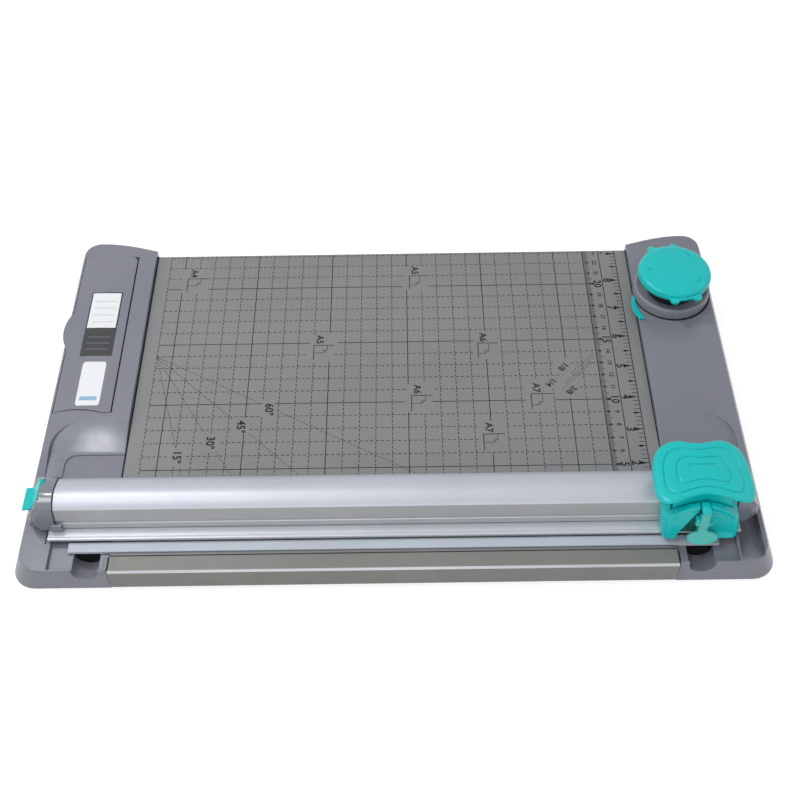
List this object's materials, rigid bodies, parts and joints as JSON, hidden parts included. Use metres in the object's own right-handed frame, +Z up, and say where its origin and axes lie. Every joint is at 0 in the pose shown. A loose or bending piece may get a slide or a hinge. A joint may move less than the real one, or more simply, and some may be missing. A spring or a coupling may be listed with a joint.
{
  "type": "rotary paper trimmer",
  "caption": "Desk trimmer: hinged rail with a sliding pressed wheel head over a flat deck, a pressure bar, a storage bay with a lid, and a turret that rounds paper corners.",
  "frame": {"origin": "middle of the footprint, on the table", "axes": "+X along the cut towards the hinge end, +Y from the rail towards the back of the deck, +Z up"},
  "size_m": [0.435, 0.2628, 0.0575],
  "materials": {
    "grey_plastic": "fine satin texture",
    "teal_plastic": "satin",
    "key_plastic": "satin",
    "painted_sheet": "matt paint",
    "aluminium": "fine satin",
    "steel": "bright",
    "zinc": "as cast",
    "mat_strip": "matt",
    "rubber": "matt",
    "dark_plastic": "matt"
  },
  "bodies": {
    "base": {"left_bottom_cover": "dark_plastic", "left_case": "grey_plastic", "left_cover_screw_1": "steel", "left_cover_screw_2": "steel", "left_cover_screw_3": "steel", "left_foot_1": "rubber", "left_foot_2": "rubber", "right_bottom_cover": "dark_plastic", "right_case": "grey_plastic", "right_cover_screw_1": "steel", "right_cover_screw_2": "steel", "right_cover_screw_3": "steel", "right_foot_1": "rubber", "right_foot_2": "rubber", "deck_plate": "painted_sheet", "deck_stiffener": "steel", "mat_channel": "aluminium", "cutting_mat": "mat_strip", "front_apron": "painted_sheet", "latch_strike": "steel", "hinge_pin": "steel", "rounder_turret": "grey_plastic", "rounder_lip": "teal_plastic"},
    "arm": {"rail": "aluminium", "left_end_cap": "grey_plastic", "right_end_cap": "grey_plastic", "latch_pin": "steel", "bar_spring_left": "steel", "bar_spring_right": "steel"},
    "latch": {"release_latch": "teal_plastic"},
    "clamp": {"pressure_bar": "aluminium", "bar_post_left": "steel", "bar_post_right": "steel"},
    "carriage": {"head_body": "teal_plastic", "press_spring": "steel"},
    "press": {"press_pad": "teal_plastic", "blade_cartridge": "key_plastic", "blade_axle": "steel"},
    "blade": {"cutting_wheel": "steel"},
    "lid": {"storage_lid": "grey_plastic"},
    "corner_rotor": {"rounder_die": "zinc", "rounder_guide": "dark_plastic", "rounder_spring": "steel"},
    "corner_punch": {"rounder_knob": "teal_plastic", "rounder_plunger": "dark_plastic", "rounder_punch_1": "steel", "rounder_punch_2": "steel", "rounder_punch_3": "steel"}
  },
  "joints": [
    {"name": "arm_lift", "type": "hinge", "parent": "base", "child": "arm", "pos_m": [0.201, -0.0894, 0.0245], "axis": [0, 1, 0], "range_deg": [0, 40]},
    {"name": "latch_swing", "type": "hinge", "parent": "arm", "child": "latch", "pos_m": [-0.19954, -0.0882, 0.03749], "axis": [0, 1, 0], "range_deg": [0, 10], "stiffness_Nm_per_rad": 0.02, "springref_deg": -5.73},
    {"name": "clamp_drop", "type": "slide", "parent": "arm", "child": "clamp", "axis": [0, 0, -1], "range_m": [0, 0.0012], "stiffness_N_per_m": 2000, "springref_m": -0.0005, "deforming": ["bar_spring_left", "bar_spring_right"]},
    {"name": "head_travel", "type": "slide", "parent": "arm", "child": "carriage", "axis": [-1, 0, 0], "range_m": [0, 0.3365]},
    {"name": "head_press", "type": "slide", "parent": "carriage", "child": "press", "axis": [0, 0, -1], "range_m": [0, 0.003], "stiffness_N_per_m": 1500, "springref_m": -0.001, "deforming": ["press_spring"]},
    {"name": "blade_spin", "type": "hinge", "parent": "press", "child": "blade", "pos_m": [0.17175, -0.1119, 0.0346], "axis": [0, 1, 0], "continuous": true},
    {"name": "lid_open", "type": "hinge", "parent": "base", "child": "lid", "pos_m": [-0.1746, 0.0533, 0.0221], "axis": [0, 1, 0], "range_deg": [0, 100]},
    {"name": "corner_select", "type": "hinge", "parent": "base", "child": "corner_rotor", "pos_m": [0.1835, 0.076, 0.0195], "axis": [0, 0, 1], "range_deg": [-120, 120]},
    {"name": "corner_press", "type": "slide", "parent": "corner_rotor", "child": "corner_punch", "axis": [0, 0, -1], "range_m": [0, 0.005], "stiffness_N_per_m": 1500, "springref_m": -0.001, "deforming": ["rounder_spring"]}
  ]
}
